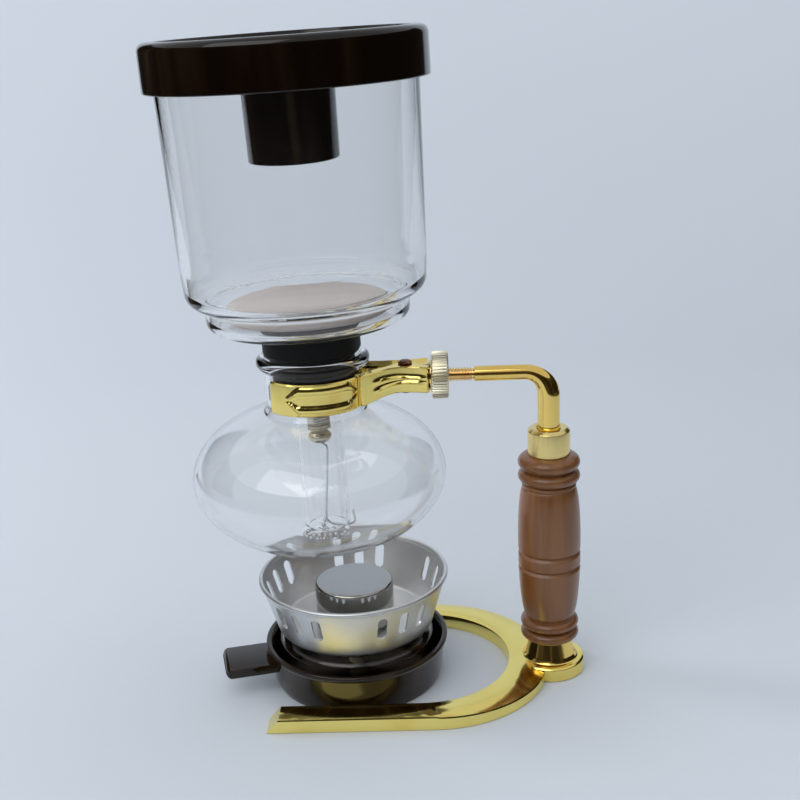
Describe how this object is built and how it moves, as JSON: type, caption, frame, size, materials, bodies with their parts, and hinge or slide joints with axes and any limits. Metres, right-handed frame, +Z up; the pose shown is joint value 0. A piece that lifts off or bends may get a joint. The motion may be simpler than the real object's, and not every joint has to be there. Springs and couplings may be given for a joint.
{
  "type": "siphon coffee maker",
  "caption": "Table siphon coffee maker: glass bulb in a gold clamp stand with a turned grip, plugged-in upper bowl with cloth filter and lid, and a spirit lamp below.",
  "frame": {"origin": "centre of the footprint of the whole object, on the table", "axes": "+Z up; +X from the glass bowls to the post with the grip; -Y is the side the clamp's front jaw faces"},
  "size_m": [0.1462, 0.095, 0.2364],
  "materials": {
    "gold_plate": "polished gold plate",
    "gold_satin": "satin gold plate",
    "gold_rod": "polished gold plate",
    "gold_nut": "satin pale gold",
    "bronze": "dark bronze",
    "steel": "bright steel",
    "spring_wire": "brassy steel wire",
    "brown_handle": "satin brown",
    "dark_brown": "glossy very dark brown",
    "clear_glass": "clear heat-resistant glass",
    "lamp_glass": "clear glass",
    "black_rubber": "matte black",
    "cloth": "brushed cotton flannel",
    "cotton": "twisted cotton",
    "grey_felt": "pressed grey felt",
    "guard_aluminium": "satin",
    "cap_chrome": "polished side, satin top"
  },
  "bodies": {
    "stand": {"stand_base": "gold_plate", "post_foot": "gold_plate", "grip": "brown_handle", "top_collar": "gold_satin", "support_arm": "gold_rod", "base_washer": "steel", "base_nut": "steel", "jaw_rivet": "bronze", "lower_bowl": "clear_glass"},
    "front_jaw": {"jaw_front": "gold_plate"},
    "back_jaw": {"jaw_back": "gold_plate"},
    "cone": {"cone_washer": "gold_satin"},
    "nut": {"knurled_nut": "gold_nut"},
    "upper": {"upper_bowl": "clear_glass", "rubber_plug": "black_rubber", "spring_ring": "spring_wire", "filter_wire": "spring_wire", "filter_hook": "spring_wire", "bead_chain": "steel"},
    "lid_body": {"lid": "dark_brown"},
    "filter": {"filter_disc": "steel", "filter_cloth": "cloth", "drawstring": "cloth", "filter_spring": "spring_wire"},
    "lamp": {"lamp_tray": "dark_brown", "lamp_reservoir": "lamp_glass", "wind_guard": "guard_aluminium", "guard_gasket": "grey_felt", "wick_holder": "steel", "wick": "cotton"},
    "cap": {"snuffer_cap": "cap_chrome"}
  },
  "joints": [
    {"name": "cone_slide", "type": "slide", "parent": "stand", "child": "cone", "axis": [1, 0, 0], "range_m": [0, 0.0024]},
    {"name": "nut_spin", "type": "hinge", "parent": "cone", "child": "nut", "pos_m": [0.0187, 0, 0.1172], "axis": [1, 0, 0], "range_deg": [0, 1080]},
    {"name": "front_jaw_swing", "type": "hinge", "parent": "stand", "child": "front_jaw", "pos_m": [0.0096, 0, 0.1172], "axis": [0, 0, 1], "range_deg": [0, 7.01]},
    {"name": "back_jaw_swing", "type": "hinge", "parent": "stand", "child": "back_jaw", "pos_m": [0.0096, 0, 0.1172], "axis": [0, 0, 1], "range_deg": [-7.01, 0]},
    {"name": "upper_bowl_lift", "type": "slide", "parent": "stand", "child": "upper", "axis": [-0.0262, 0, 0.9997], "range_m": [0, 0.09]},
    {"name": "lid_lift", "type": "slide", "parent": "upper", "child": "lid_body", "axis": [-0.0262, 0, 0.9997], "range_m": [0, 0.045]},
    {"name": "filter_lift", "type": "slide", "parent": "upper", "child": "filter", "axis": [-0.0262, 0, 0.9997], "range_m": [0, 0.01], "stiffness_N_per_m": 60, "springref_m": -0.005, "deforming": ["filter_spring"]},
    {"name": "lamp_slide", "type": "slide", "parent": "stand", "child": "lamp", "axis": [-1, 0, 0], "range_m": [0, 0.12]},
    {"name": "cap_lift", "type": "slide", "parent": "lamp", "child": "cap", "axis": [0, 0, 1], "range_m": [0, 0.0145]}
  ],
  "couplings": [
    {"joint": "nut_spin", "follows": "cone_slide", "rad_per_m": 7853.9},
    {"joint": "front_jaw_swing", "follows": "cone_slide", "rad_per_m": 50.9},
    {"joint": "back_jaw_swing", "follows": "cone_slide", "rad_per_m": -50.9}
  ]
}
